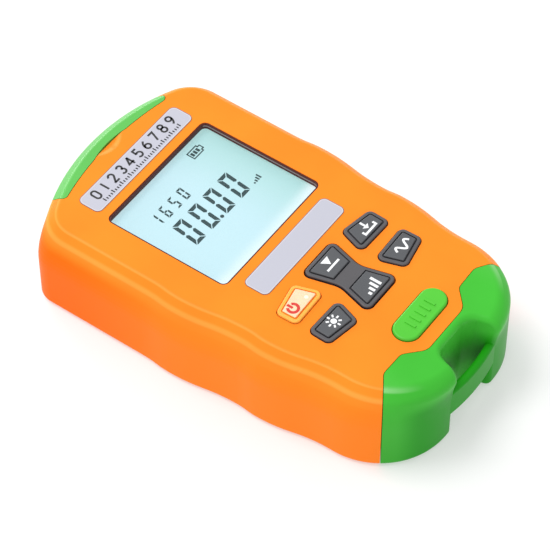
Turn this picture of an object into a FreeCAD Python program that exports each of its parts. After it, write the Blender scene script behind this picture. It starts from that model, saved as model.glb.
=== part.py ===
"""Handheld optical power meter: a waisted orange case with a green end cap and a green port cover.

Units are millimetres. X runs to the right of the face, Y towards the optical port, Z out of the face.
The origin is on the resting plane, under the middle of the case.
"""

import FreeCAD, Part
import math
import os

V = FreeCAD.Vector

# Case envelope: the plan at the ridge below the face, and the wider plan of the foot
HEIGHT = 27.4
TOP_Y = 61.8
END_Y = -62.4
SIDE = [(33.2, 18.4), (33.8, 9.8), (31.75, -11.2), (32.15, -16.8), (29.5, -38.4)]
TOP_ARCH_R = 62.0        # crown of the port end in plan
TOP_CORNER_R = 11.0
END_CORNER_R = 22.0      # large corners of the lanyard end
FLARE = 2.6              # how far the foot stands out beside the ridge
FOOT_ARCH_R = 81.0
FOOT_CORNER_R = 6.0
FOOT_END_Y = -60.6
FOOT_END_R = 21.0
FLARE_Z = 14.8           # level where the wall starts to lean in
FLARE_SHARES = (0, 0.15, 0.3, 0.44, 0.58, 0.74, 1)
BEVEL = 2.6
RIDGE_R = 1.8
CAP_RIDGE_R = 3.6
FOOT_R = 1.8
WALL = 2.2
ROOF = 2.5
ROOF_Z = HEIGHT - ROOF
LOW_ROOM_Z = 14.0        # top of the wider room inside the foot
SEAM = 0.18              # width of the visible line between two mouldings
FIT = 0.2                # clearance round a lidded piece

# Face layout
LCD_X = 21.5
LCD_Y = (1.8, 40.5)
LCD_CORNER_R = 2.0
LENS_LEDGE = 1.1
LENS_Z = (HEIGHT - 2.7, HEIGHT - 1.9)
GLASS_Z = (HEIGHT - 4.9, HEIGHT - 3.0)
BOARD_Z = (HEIGHT - 8.6, HEIGHT - 7.0)
GASKET_W = 0.5
GASKET_TOP = HEIGHT - 0.25
TITLE_X = 20.9
TITLE_Y = (43.1, 50.5)
BLANK_X = 18.0
BLANK_Y = (-8.7, -1.0)
LABEL_R = 1.8
LABEL_T = 0.3
LABEL_SUNK = 0.2

# Keys
KEYPAD_Y = -22.1
CORNER_KEY = [(10.97, 10.2), (21.2, 8.3), (21.0, 1.75), (8.27, 2.1)]
CORNER_KEY_R = 1.7
MODE_KEY_END = (6.86, 10.3)
MODE_KEY_WAIST = 4.1
MODE_KEY_WAIST_R = 7.0
MODE_PAD_INNER_Y = 2.3
KEY_RIM_Z = HEIGHT + 0.55
KEY_PAD_Z = HEIGHT + 0.8
KEY_RIM_R = 0.35
KEY_PAD_R = 0.25
KEY_RIM_W = 0.95
KEY_GROOVE_W = 0.4
KEY_GROOVE_D = 0.45
KEY_GAP = 0.25
KEY_TRAVEL = 0.6
KEY_POST_R = 1.6
FLANGE_W = 0.8
FLANGE_Z = (HEIGHT - 3.8, HEIGHT - 2.8)
ROCKER_GAP = 0.45
ROCKER_FLANGE_Z = (HEIGHT - 4.3, HEIGHT - 3.3)
ROCKER_SWITCH_Y = 7.5
SWITCH = 6.0
SWITCH_H = 1.6
PLUNGER_R = 1.2
PLUNGER_Z = HEIGHT - 4.8
PILL_Y = -43.8
PILL_HALF = (9.6, 3.75)
PILL_Z = HEIGHT + 0.7
PILL_EDGE_R = 0.6
PILL_RIBS = 5
PILL_RIB = (0.7, 3.2)    # width and length of one raised rib
PILL_RIB_PITCH = 2.2
PILL_RIB_Z = HEIGHT + 0.95

# Green end cap: half of the line where it meets the case, from the middle outwards
CAP_LINE = [(8.2, -51.5, 4.0), (13.2, -46.8, 2.6), (20.8, -46.6, 3.0), (37.0, -57.4, 0.0)]
CAP_CORE = 1.3           # depth of the seam line round the cap
POCKET_X = 7.0           # half width at the back of the pocket
POCKET_MOUTH_X = 9.6     # half width where it opens at the end
POCKET_Y = -53.7
POCKET_R = 4.0
POCKET_RIM_R = 1.6
BAR_T = 2.4
BAR_Z = (HEIGHT - 19.0, HEIGHT - 9.4)
BAR_R = 1.1
BAR_Y = FOOT_END_Y - 1.0  # front of the bar at its middle
BAR_BEND_R = 52.0        # the bar follows the end's curve

# Port cover, its hinge and the port behind it
COVER_X = 22.6
COVER_T = 2.2
COVER_GAP = 0.3
LIP_MID_Y = 56.0
LIP_END_Y = 53.2
LIP_R = 1.5
NOTCH_R = 28.0           # shallow arc that moves the lip back behind the nail scoop
NOTCH_DEPTH = 0.6
SCOOP_R = 26.0
SCOOP_Y = 61.0
SCOOP_DEPTH = 1.1
HINGE_Y = 60.1
HINGE_Z = 5.2
KNUCKLE_R = 1.5
KNUCKLE_X = 3.5
LUG_X = (3.7, 7.0)
PIN_R = 0.75
HINGE_SWEEP_R = 2.4
HINGE_SWEEP_X = 18.5
PORT_Z = HEIGHT / 2
CUP_R = 6.5
CUP_WALL = 1.8
CUP_FLOOR_Y = 50.5
TUBE_R = 3.6
TUBE_FRONT_Y = 57.0
TUBE_BACK = 6.0          # length of the tube behind the cup floor
FERRULE_R = 1.25
MOUTH = 0.8
LAMP_X = 14.2
LAMP_R = 2.5
LAMP_Y = (48.5, 49.5, 55.2)

# Back of the case
PLATE_T = 2.2
DOOR_X = 17.3
DOOR_Y = (-42.5, 7.0)
DOOR_T = 1.8
DOOR_R = 2.5
DOOR_GAP = 0.25
GRIP_GROOVES = 5
TAB_X = 5.6
TAB_W = 4.0
TAB_TOP = 3.6
CELL_R = 5.25
CELL_LENGTH = 43.5
CELL_EDGE = 0.5
CELL_NUB = (1.9, 1.0)
CELL_PITCH = 11.2
CELL_Z = 7.75
CELL_Y = -41.0
BAY_WALL = 1.4
BAY_TOP_Z = 13.6
SCREWS = [(27.0, 43.0), (24.6, -38.0)]
BOSS_R = 3.0
SCREW_R = 1.4
SCREW_TIP = 9.0
HEAD_R = 2.6
HEAD_T = 1.2
CROSS = (1.5, 0.35)
BOARD_POSTS = [(20.6, 44.4), (26.0, 3.0)]
POST_R = 2.0
POST_SCREW_R = 0.9
BOARD_X = 23.5           # half width beside the display
BOARD_LOW_X = 20.6       # half width beside the keys
BOARD_TONGUE_X = 8.0
BOARD_Y = (-47.5, -43.6, -33.0, 47.0)
CHIP_T = 1.6
CHIPS = [((-6, 6), (12, 24)), ((-4, 4), (32, 38)), ((10, 16), (-8, -2))]
FAR = 80.0               # beyond the case


def rounded(corners):
    """Closed outline through (x, y, corner radius) points."""
    points = [V(x, y, 0) for x, y, r in corners]
    ends = []
    arcs = []
    for i, point in enumerate(points):
        before = (points[i - 1] - point).normalize()
        after = (points[(i + 1) % len(points)] - point).normalize()
        radius = corners[i][2]
        if radius == 0:
            ends.append((point, point))
            arcs.append(None)
            continue
        half = before.getAngle(after) / 2
        reach = radius / math.tan(half)
        inward = (before + after).normalize()
        crown = point + inward * (radius / math.sin(half) - radius)
        ends.append((point + before * reach, point + after * reach))
        arcs.append(Part.Arc(ends[i][0], crown, ends[i][1]).toShape())
    edges = []
    for i, arc in enumerate(arcs):
        if arc:
            edges.append(arc)
        edges.append(Part.makeLine(ends[i][1], ends[(i + 1) % len(ends)][0]))
    return Part.Wire(edges)


def rectangle(x, y_range, radius):
    """Rounded rectangle, symmetric in X."""
    low, high = y_range
    return rounded([(-x, low, radius), (x, low, radius), (x, high, radius), (-x, high, radius)])


def prism(outline, z_low, z_high):
    """Straight solid over a flat outline."""
    solid = Part.Face(outline).extrude(V(0, 0, z_high - z_low))
    solid.translate(V(0, 0, z_low))
    return solid


def box(x_range, y_range, z_range):
    corner = V(x_range[0], y_range[0], z_range[0])
    return Part.makeBox(x_range[1] - x_range[0], y_range[1] - y_range[0], z_range[1] - z_range[0], corner)


def rod(radius, start, end):
    """Round bar between two points."""
    return Part.makeCylinder(radius, (end - start).Length, start, end - start)


def both_sides(shape):
    """The shape and its mirror image in X, joined."""
    return shape.fuse(shape.mirror(V(0, 0, 0), V(1, 0, 0)))


def edges_at(shape, z):
    """Edges that lie in one level plane."""
    def level(edge):
        return abs(edge.BoundBox.ZMin - z) < 1e-4 and abs(edge.BoundBox.ZMax - z) < 1e-4
    return [edge for edge in shape.Edges if level(edge)]


def s_bend(x_from, y_from, x_to, y_to):
    """Two equal tangent arcs that shift a wall sideways."""
    shift = x_to - x_from
    drop = y_from - y_to
    radius = (drop ** 2 + shift ** 2) / (4 * abs(shift))
    side = math.copysign(1, shift)
    swing = math.atan2(abs(shift), drop)
    step = V(side * radius * (1 - math.cos(swing)), -radius * math.sin(swing), 0)
    start = V(x_from, y_from, 0)
    end = V(x_to, y_to, 0)
    middle = (start + end) * 0.5
    return [Part.Arc(start, start + step, middle).toShape(), Part.Arc(middle, end - step, end).toShape()]


RIDGE_PLAN = [0, TOP_Y, END_Y, TOP_ARCH_R, TOP_CORNER_R, END_CORNER_R]
FOOT_PLAN = [FLARE, TOP_Y, FOOT_END_Y, FOOT_ARCH_R, FOOT_CORNER_R, FOOT_END_R]
RIM_RADII = [radius - BEVEL for radius in (TOP_ARCH_R, TOP_CORNER_R, END_CORNER_R)]
RIM_PLAN = [-BEVEL, TOP_Y - BEVEL, END_Y + BEVEL] + RIM_RADII


def case_outline(swell, top_y, end_y, arch_r, corner_r, end_r):
    """Plan of the case at one level: crowned top, bulge, waist, taper and two large end corners."""
    side = [(x + swell, y) for x, y in SIDE]
    shoulder_x, shoulder_y = side[0]
    tail_x, tail_y = side[-1]
    arch_centre = V(0, top_y - arch_r, 0)
    corner_x = shoulder_x - corner_r
    corner_y = arch_centre.y + math.sqrt((arch_r - corner_r) ** 2 - corner_x ** 2)
    corner = V(corner_x, corner_y, 0)
    outward = (corner - arch_centre).normalize()
    arch_end = arch_centre + outward * arch_r
    corner_mid = corner + (outward + V(1, 0, 0)).normalize() * corner_r
    corner_end = V(shoulder_x, corner_y, 0)
    end_centre = V(tail_x - end_r, end_y + end_r, 0)
    end_mid = end_centre + V(1, -1, 0).normalize() * end_r
    end_low = V(end_centre.x, end_y, 0)
    right = [Part.Arc(arch_end, corner_mid, corner_end).toShape()]
    right.append(Part.makeLine(corner_end, V(shoulder_x, shoulder_y, 0)))
    for start, stop in zip(side, side[1:]):
        right += s_bend(*start, *stop)
    right.append(Part.makeLine(V(tail_x, tail_y, 0), V(tail_x, end_centre.y, 0)))
    right.append(Part.Arc(V(tail_x, end_centre.y, 0), end_mid, end_low).toShape())
    left = [edge.mirror(V(0, 0, 0), V(1, 0, 0)) for edge in right]
    arch_left = V(-arch_end.x, arch_end.y, 0)
    arch = Part.Arc(arch_left, V(0, top_y, 0), arch_end).toShape()
    end = Part.makeLine(end_low, V(-end_low.x, end_low.y, 0))
    return Part.Wire(Part.__sortEdges__([arch, end] + right + left))


RIDGE = case_outline(*RIDGE_PLAN)
FOOT = case_outline(*FOOT_PLAN)


def inset(distance):
    return RIDGE.makeOffset2D(-distance)


def foot_inset(distance):
    return FOOT.makeOffset2D(-distance)


def plan_at(plan, z):
    """Outline of one plan, lifted to its level."""
    wire = case_outline(*plan)
    wire.translate(V(0, 0, z))
    return wire


def case_envelope(ridge_r):
    """Outer form of case, cap and cover together: bevelled rim, soft shoulder and upright foot."""
    ridge_z = HEIGHT - BEVEL
    foot = prism(FOOT, 0, FLARE_Z)
    foot = foot.makeFillet(FOOT_R, edges_at(foot, 0))
    sections = []
    for share in FLARE_SHARES:
        plan = [wide + (narrow - wide) * share ** 2 for wide, narrow in zip(FOOT_PLAN, RIDGE_PLAN)]
        sections.append(plan_at(plan, FLARE_Z + (ridge_z - FLARE_Z) * share))
    sections.append(plan_at(RIM_PLAN, HEIGHT))
    block = foot.fuse(Part.makeLoft(sections, True, True))
    return block.makeFillet(ridge_r, edges_at(block, HEIGHT) + edges_at(block, ridge_z))


def cap_outline(grow):
    """Plan of everything beyond the line between case and cap, moved by grow towards the case."""
    right = [(x, y, r) for x, y, r in CAP_LINE]
    left = [(-x, y, r) for x, y, r in reversed(CAP_LINE)]
    far = END_Y - 8
    wire = rounded(left + right + [(37, far, 0), (-37, far, 0)])
    return wire.makeOffset2D(grow) if grow else wire


def lip_outline(grow):
    """Plan of the port cover: an arc across the face with a shallow notch, open to the outside."""
    left = V(-COVER_X, LIP_END_Y, 0)
    right = V(COVER_X, LIP_END_Y, 0)
    arc = Part.Arc(left, V(0, LIP_MID_Y, 0), right).toShape()
    sides = Part.makePolygon([right, V(COVER_X, FAR, 0), V(-COVER_X, FAR, 0), left])
    notch = Part.makeCircle(NOTCH_R, V(0, LIP_MID_Y + NOTCH_DEPTH - NOTCH_R, 0))
    plan = Part.Face(Part.Wire([arc] + sides.Edges)).cut(Part.Face(Part.Wire(notch)))
    return plan.Faces[0].OuterWire.makeOffset2D(-LIP_R).makeOffset2D(LIP_R + grow)


def corner_key_outline(grow, side, end):
    """One corner key; side is +1 right or -1 left, end is +1 upper or -1 lower."""
    corners = [(side * x, KEYPAD_Y + end * y, CORNER_KEY_R) for x, y in CORNER_KEY]
    wire = rounded(corners)
    return wire.makeOffset2D(grow) if grow else wire


def mode_key_outline(grow):
    """Bow-tie outline of the rocker key."""
    x, y = MODE_KEY_END
    corners = [(x, KEYPAD_Y + y, CORNER_KEY_R)]
    corners.append((MODE_KEY_WAIST, KEYPAD_Y, MODE_KEY_WAIST_R))
    corners.append((x, KEYPAD_Y - y, CORNER_KEY_R))
    corners += [(-a, b, r) for a, b, r in reversed(corners)]
    wire = rounded(corners)
    return wire.makeOffset2D(grow) if grow else wire


def pill_outline(grow):
    long, half = PILL_HALF[0] + grow, PILL_HALF[1] + grow
    return rectangle(long, (PILL_Y - half, PILL_Y + half), half - 0.01)


def key_blank(outline, flange_z):
    """Key with a rim, a groove round its pad place, and a flange that holds it under the face."""
    body = prism(outline(0), flange_z[0], KEY_RIM_Z)
    body = body.makeFillet(KEY_RIM_R, edges_at(body, KEY_RIM_Z))
    body = body.fuse(prism(outline(FLANGE_W), flange_z[0], flange_z[1]))
    return body.cut(prism(outline(-KEY_RIM_W), KEY_RIM_Z - KEY_GROOVE_D, KEY_RIM_Z + 1))


def key_pad(wire):
    """Raised face of a key."""
    pad = prism(wire, KEY_RIM_Z - KEY_GROOVE_D, KEY_PAD_Z)
    return pad.makeFillet(KEY_PAD_R, edges_at(pad, KEY_PAD_Z))


def key_post(centre):
    """Post under a key, just clear of its switch when the key is up."""
    low = V(centre[0], centre[1], PLUNGER_Z + KEY_TRAVEL + 0.1)
    return rod(KEY_POST_R, low, V(centre[0], centre[1], FLANGE_Z[0] + 0.2))


def push_key(outline, centre):
    """Key that is pushed straight in."""
    body = key_blank(outline, FLANGE_Z).fuse(key_pad(outline(-KEY_RIM_W - KEY_GROOVE_W)))
    return body.fuse(key_post(centre)).removeSplitter()


def press_key():
    """Plain pill with a soft edge and a row of raised ribs."""
    body = prism(pill_outline(0), FLANGE_Z[0], PILL_Z)
    body = body.makeFillet(PILL_EDGE_R, edges_at(body, PILL_Z))
    body = body.fuse(prism(pill_outline(FLANGE_W), *FLANGE_Z)).fuse(key_post((0, PILL_Y)))
    half_x, half_y = PILL_RIB[0] / 2, PILL_RIB[1] / 2
    for i in range(PILL_RIBS):
        x = (i - (PILL_RIBS - 1) / 2) * PILL_RIB_PITCH
        rib = box((x - half_x, x + half_x), (PILL_Y - half_y, PILL_Y + half_y), (HEIGHT, PILL_RIB_Z))
        body = body.fuse(rib)
    return body.removeSplitter()


def mode_key():
    """Rocker with one raised pad at each end and a plain waist."""
    body = key_blank(mode_key_outline, ROCKER_FLANGE_Z)
    floor = KEY_RIM_Z - KEY_GROOVE_D
    half_x = MODE_KEY_END[0] + 2
    inner = mode_key_outline(-KEY_RIM_W - KEY_GROOVE_W)
    middle = box((-half_x, half_x), (KEYPAD_Y - MODE_PAD_INNER_Y, KEYPAD_Y + MODE_PAD_INNER_Y), (0, FAR))
    body = body.fuse(prism(mode_key_outline(-KEY_RIM_W), floor, KEY_RIM_Z).common(middle))
    for end in (-1, 1):
        near = KEYPAD_Y + end * (MODE_PAD_INNER_Y + KEY_GROOVE_W)
        far = KEYPAD_Y + end * (MODE_KEY_END[1] + 2)
        half = box((-half_x, half_x), sorted((near, far)), (0, FAR))
        pad = prism(inner, floor, KEY_PAD_Z).common(half)
        body = body.fuse(pad.makeFillet(KEY_PAD_R, edges_at(pad, KEY_PAD_Z)))
    return body.removeSplitter()


def corner_key_centre(side, end):
    x = sum(corner[0] for corner in CORNER_KEY) / 4
    y = sum(corner[1] for corner in CORNER_KEY) / 4
    return side * x, KEYPAD_Y + end * y


CORNER_KEYS = {"power_key": (-1, 1), "memory_key": (1, 1), "lamp_key": (-1, -1), "wavelength_key": (1, -1)}


def corner_key_shape(place):
    return lambda grow: corner_key_outline(grow, *place)


def key_openings():
    """Cuts through the face for all six keys."""
    outlines = [corner_key_outline(KEY_GAP, *place) for place in CORNER_KEYS.values()]
    outlines += [mode_key_outline(ROCKER_GAP), pill_outline(KEY_GAP)]
    return [prism(outline, ROOF_Z - 1, HEIGHT + 1) for outline in outlines]


def port_axis(radius, y_low, y_high):
    """Round bar on the axis of the optical port."""
    return rod(radius, V(0, y_low, PORT_Z), V(0, y_high, PORT_Z))


def lamp_axis(radius, y_low, y_high):
    return rod(radius, V(LAMP_X, y_low, PORT_Z), V(LAMP_X, y_high, PORT_Z))


def hinge_axis(radius, x_low, x_high):
    return rod(radius, V(x_low, HINGE_Y, HINGE_Z), V(x_high, HINGE_Y, HINGE_Z))


def mirrored_points(points):
    return [(side * x, y) for x, y in points for side in (-1, 1)]


def case_cavity():
    """Space inside the case, open at the back, with thick walls at the port and the cap."""
    room = prism(inset(WALL), -1, ROOF_Z).fuse(prism(foot_inset(WALL), -1, LOW_ROOM_Z))
    port_wall = prism(inset(COVER_T + COVER_GAP + WALL), -2, HEIGHT)
    port_zone = box((-COVER_X - 3, COVER_X + 3), (40, FAR), (-2, HEIGHT)).cut(port_wall)
    cap_zone = prism(cap_outline(WALL), -2, HEIGHT)
    return room.cut(port_zone).cut(cap_zone)


def nail_scoop():
    """Shallow round dent in the face at the middle of the cover's lip."""
    return Part.makeSphere(SCOOP_R, V(0, SCOOP_Y, HEIGHT + SCOOP_R - SCOOP_DEPTH))


def cover_recess():
    """Room in the case for the port cover, its lip and the swing of its hinge."""
    clear = COVER_X + FIT
    behind = prism(inset(COVER_T + COVER_GAP), -1, HEIGHT + 2)
    band = box((-clear, clear), (40, FAR), (HINGE_Z - FIT, HEIGHT + 1)).cut(behind)
    lip = prism(lip_outline(FIT), HEIGHT - COVER_T - COVER_GAP, HEIGHT + 1)
    swing = hinge_axis(HINGE_SWEEP_R, -HINGE_SWEEP_X, HINGE_SWEEP_X)
    fall = box((-HINGE_SWEEP_X, HINGE_SWEEP_X), (HINGE_Y, FAR), (HINGE_Z - HINGE_SWEEP_R, HINGE_Z))
    return band.fuse(lip).fuse(swing).fuse(fall)


def housing_shell(envelope):
    """Deep orange moulding: face, walls, key and display openings, bosses and the port cup."""
    shell = envelope.cut(prism(cap_outline(0), -1, HEIGHT + 1)).cut(case_cavity())
    cup = port_axis(CUP_R + CUP_WALL, CUP_FLOOR_Y - CUP_WALL, TOP_Y)
    cup = cup.common(prism(inset(WALL), 0, HEIGHT))
    shell = shell.fuse(cup)
    for x, y in mirrored_points(SCREWS):
        shell = shell.fuse(rod(BOSS_R, V(x, y, PLATE_T), V(x, y, ROOF_Z)))
    for x, y in mirrored_points(BOARD_POSTS):
        shell = shell.fuse(rod(POST_R, V(x, y, BOARD_Z[1]), V(x, y, ROOF_Z)))
    shell = shell.cut(cover_recess()).cut(nail_scoop())
    for side in (-1, 1):
        x_range = sorted((side * LUG_X[0], side * LUG_X[1]))
        web = box(x_range, (HINGE_Y - 5, HINGE_Y), (HINGE_Z - KNUCKLE_R, HINGE_Z))
        shell = shell.fuse(hinge_axis(KNUCKLE_R, *x_range)).fuse(web)
    cuts = key_openings()
    cuts.append(hinge_axis(PIN_R, -LUG_X[1], LUG_X[1]))
    cuts.append(port_axis(CUP_R, CUP_FLOOR_Y, FAR))
    cuts.append(port_axis(TUBE_R, 40, FAR))
    cuts.append(lamp_axis(LAMP_R, 40, FAR))
    cuts.append(prism(rectangle(LCD_X, LCD_Y, LCD_CORNER_R), ROOF_Z - 1, HEIGHT + 1))
    ledge_y = (LCD_Y[0] - LENS_LEDGE, LCD_Y[1] + LENS_LEDGE)
    cuts.append(prism(rectangle(LCD_X + LENS_LEDGE, ledge_y, 1.0), ROOF_Z - 1, LENS_Z[1]))
    label_floor = HEIGHT - LABEL_SUNK
    cuts.append(prism(rectangle(TITLE_X, TITLE_Y, LABEL_R), label_floor, HEIGHT + 1))
    cuts.append(prism(rectangle(BLANK_X, BLANK_Y, LABEL_R), label_floor, HEIGHT + 1))
    for x, y in mirrored_points(SCREWS):
        cuts.append(rod(SCREW_R, V(x, y, 0), V(x, y, SCREW_TIP + 3)))
    for x, y in mirrored_points(BOARD_POSTS):
        cuts.append(rod(POST_SCREW_R, V(x, y, BOARD_Z[0]), V(x, y, ROOF_Z - 1)))
    return shell.cut(cuts).removeSplitter()


def end_cap(envelope):
    """Green corner cap: a soft-rimmed pocket in the end, crossed by a lanyard bar."""
    skin = envelope.common(prism(cap_outline(-SEAM), -1, HEIGHT + 1))
    core = prism(inset(CAP_CORE + BEVEL), CAP_CORE, HEIGHT - CAP_CORE - 1)
    cap = skin.fuse(core.common(prism(cap_outline(0), 0, HEIGHT))).removeSplitter()
    depth = POCKET_Y - END_Y
    slope = (POCKET_MOUTH_X - POCKET_X) / depth
    far_y = END_Y - 5
    far_x = POCKET_X + slope * (POCKET_Y - far_y)
    plan = [(-far_x, far_y, 0), (far_x, far_y, 0)]
    plan += [(POCKET_X, POCKET_Y, POCKET_R), (-POCKET_X, POCKET_Y, POCKET_R)]
    pocket = prism(rounded(plan), -1, HEIGHT + 1)
    cap = cap.cut(pocket).removeSplitter()

    def on_rim(edge):
        middle = edge.valueAt((edge.FirstParameter + edge.LastParameter) / 2)
        inner_seam = edge.BoundBox.ZLength > BAR_Z[1] and middle.y > FOOT_END_Y + BAR_T
        return pocket.distToShape(Part.Vertex(middle))[0] < 1e-4 and not inner_seam

    cap = cap.makeFillet(POCKET_RIM_R, [edge for edge in cap.Edges if on_rim(edge)])
    reach = POCKET_MOUTH_X + 2
    bend = V(0, BAR_Y + BAR_BEND_R, 0)
    bar = rod(BAR_BEND_R, bend + V(0, 0, BAR_Z[0]), bend + V(0, 0, BAR_Z[1]))
    bar = bar.cut(rod(BAR_BEND_R - BAR_T, bend, bend + V(0, 0, HEIGHT)))
    bar = bar.makeFillet(BAR_R, bar.Edges).common(box((-reach, reach), (END_Y, POCKET_Y), BAR_Z))
    return cap.fuse(bar).removeSplitter()


def port_cover(envelope):
    """Flip cover: a wall over the port end, a lip on the face and a knuckle on the hinge pin."""
    piece = envelope.common(prism(lip_outline(0), HINGE_Z, HEIGHT + 1))
    hollow = prism(inset(COVER_T), 0, HEIGHT - COVER_T)
    piece = piece.cut(hollow)
    relief = hinge_axis(KNUCKLE_R + 0.25, LUG_X[0] - FIT, LUG_X[1] + FIT)
    piece = piece.cut(both_sides(relief))
    knuckle = hinge_axis(KNUCKLE_R, -KNUCKLE_X, KNUCKLE_X)
    web = box((-KNUCKLE_X, KNUCKLE_X), (HINGE_Y - FIT, HINGE_Y + KNUCKLE_R), (HINGE_Z, HINGE_Z + 2))
    piece = piece.fuse(knuckle).fuse(web)
    return piece.cut(hinge_axis(PIN_R, -KNUCKLE_X, KNUCKLE_X)).removeSplitter()


def rear_cover():
    """Back plate with the battery bay moulded on it."""
    outline = prism(foot_inset(WALL + FIT), 0, PLATE_T)
    plate = outline.cut(prism(cap_outline(WALL + FIT), -1, HEIGHT))
    port_wall = prism(inset(COVER_T + COVER_GAP + WALL + FIT), -2, HEIGHT)
    port_x = COVER_X + 3 + FIT
    plate = plate.cut(box((-port_x, port_x), (40, FAR), (-2, HEIGHT)).cut(port_wall))
    bay_x = DOOR_X + BAY_WALL
    bay_y = (DOOR_Y[0] - BAY_WALL, DOOR_Y[1] - FIT)
    bay = box((-bay_x, bay_x), bay_y, (PLATE_T - 0.5, BAY_TOP_Z + BAY_WALL))
    room = box((-DOOR_X, DOOR_X), (DOOR_Y[0], DOOR_Y[1] - BAY_WALL), (-1, BAY_TOP_Z))
    cover = plate.fuse(bay).cut(room)
    cover = cover.cut(prism(rectangle(DOOR_X, DOOR_Y, DOOR_R), -1, PLATE_T + 0.1))
    for side in (-1, 1):
        x_range = sorted((side * (TAB_X - TAB_W / 2 - 0.5), side * (TAB_X + TAB_W / 2 + 0.5)))
        cover = cover.cut(box(x_range, (DOOR_Y[1] - BAY_WALL - 1, DOOR_Y[1] + 1), (PLATE_T, TAB_TOP * 2)))
    for x, y in mirrored_points(SCREWS):
        cover = cover.cut(rod(SCREW_R + FIT, V(x, y, -1), V(x, y, PLATE_T + 1)))
        cover = cover.cut(rod(HEAD_R + 0.3, V(x, y, -1), V(x, y, HEAD_T)))
    return cover.removeSplitter()


def battery_door():
    """Door over the cells with two tabs and grip grooves."""
    y_range = (DOOR_Y[0] + DOOR_GAP, DOOR_Y[1] - DOOR_GAP)
    door = prism(rectangle(DOOR_X - DOOR_GAP, y_range, DOOR_R - DOOR_GAP), 0, DOOR_T)
    for side in (-1, 1):
        x_range = sorted((side * (TAB_X - TAB_W / 2), side * (TAB_X + TAB_W / 2)))
        stem = box(x_range, (y_range[1] - 1.2, y_range[1]), (DOOR_T, TAB_TOP))
        tab = box(x_range, (y_range[1] - 1.2, y_range[1] + 1.8), (PLATE_T + DOOR_GAP, TAB_TOP))
        door = door.fuse(stem).fuse(tab)
    for i in range(GRIP_GROOVES):
        y = y_range[0] + 4.0 + i * 1.8
        half = 7 - i * 0.9
        door = door.cut(box((-half, half), (y, y + 0.8), (-1, 0.5)))
    return door.removeSplitter()


def cell_places():
    return [-CELL_PITCH, 0, CELL_PITCH]


def battery_cells():
    """Three cells side by side, the middle one turned round."""
    cells = []
    for i, x in enumerate(cell_places()):
        can = rod(CELL_R, V(x, CELL_Y, CELL_Z), V(x, CELL_Y + CELL_LENGTH, CELL_Z))
        can = can.makeChamfer(CELL_EDGE, [edge for edge in can.Edges if edge.Closed])
        nub_r, nub_h = CELL_NUB
        tip = CELL_Y if i == 1 else CELL_Y + CELL_LENGTH
        out = -nub_h if i == 1 else nub_h
        cells.append(can.fuse(rod(nub_r, V(x, tip - out * 0.2, CELL_Z), V(x, tip + out, CELL_Z))))
    return cells


def battery_contacts():
    """Bent leaf at each end of each cell."""
    contacts = []
    for i, x in enumerate(cell_places()):
        low_tip = CELL_Y - (CELL_NUB[1] if i == 1 else 0)
        high_tip = CELL_Y + CELL_LENGTH + (0 if i == 1 else CELL_NUB[1])
        for wall, tip in ((DOOR_Y[0], low_tip), (DOOR_Y[1] - BAY_WALL, high_tip)):
            y_range = sorted((wall, tip))
            back = wall + math.copysign(0.3, tip - wall)
            plate = box((x - 3, x + 3), sorted((wall, back)), (3.6, 12))
            bump = box((x - 1.5, x + 1.5), y_range, (CELL_Z - 1, CELL_Z + 1))
            contacts.append(plate.fuse(bump).removeSplitter())
    return contacts


def board_outline():
    """Board with a tongue under the pill key."""
    tip, low, step, high = BOARD_Y
    right = [(BOARD_TONGUE_X, tip, 1), (BOARD_TONGUE_X, low, 0), (BOARD_LOW_X, low, 1)]
    right += [(BOARD_LOW_X, step, 0), (BOARD_X, step, 1), (BOARD_X, high, 1)]
    return rounded(right + [(-x, y, r) for x, y, r in reversed(right)])


def board_ears():
    """Ears of the board under the wide posts."""
    x, y = BOARD_POSTS[1]
    return both_sides(box((BOARD_X - 1, x + 2.2), (y - 2.5, y + 2.5), BOARD_Z))


def main_board():
    board = prism(board_outline(), *BOARD_Z).fuse(board_ears())
    for x, y in mirrored_points(BOARD_POSTS):
        board = board.cut(rod(POST_SCREW_R + FIT, V(x, y, 0), V(x, y, HEIGHT)))
    return board.removeSplitter()


def switch_places():
    places = [corner_key_centre(*place) for place in CORNER_KEYS.values()]
    places += [(0, KEYPAD_Y + ROCKER_SWITCH_Y), (0, KEYPAD_Y - ROCKER_SWITCH_Y), (0, PILL_Y)]
    return places


def key_switches():
    """Low push switches, one under each place that is pressed."""
    switches = []
    for x, y in switch_places():
        half = SWITCH / 2
        top = BOARD_Z[1] + SWITCH_H
        body = box((x - half, x + half), (y - half, y + half), (BOARD_Z[1], top))
        switches.append(body.fuse(rod(PLUNGER_R, V(x, y, top), V(x, y, PLUNGER_Z))))
    return switches


def board_chips():
    """Controller, amplifier and regulator under the board."""
    return [box(x_range, y_range, (BOARD_Z[0] - CHIP_T, BOARD_Z[0])) for x_range, y_range in CHIPS]


def fibre_adapter():
    """Turned port tube with a flange against the cup floor and a 2.5 mm ferrule bore right through."""
    floor = CUP_FLOOR_Y - CUP_WALL
    tube = port_axis(TUBE_R, floor - TUBE_BACK, TUBE_FRONT_Y)
    flange = port_axis(TUBE_R + 1.4, CUP_FLOOR_Y, CUP_FLOOR_Y + 1.2)
    bore = port_axis(FERRULE_R, 0, FAR)
    mouth_low = V(0, TUBE_FRONT_Y - MOUTH, PORT_Z)
    mouth = Part.makeCone(FERRULE_R, FERRULE_R + MOUTH, MOUTH, mouth_low, V(0, 1, 0))
    return tube.fuse(flange).cut(bore).cut(mouth).removeSplitter()


def adapter_nut():
    """Hexagon nut that clamps the port tube behind the cup."""
    floor = CUP_FLOOR_Y - CUP_WALL
    across = 5.6
    corners = []
    for i in range(7):
        angle = math.radians(60 * i)
        corners.append(V(across * math.cos(angle), floor - 2.4, PORT_Z + across * math.sin(angle)))
    nut = Part.Face(Part.makePolygon(corners)).extrude(V(0, 2.4, 0))
    return nut.cut(port_axis(TUBE_R, 20, FAR))


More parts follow.
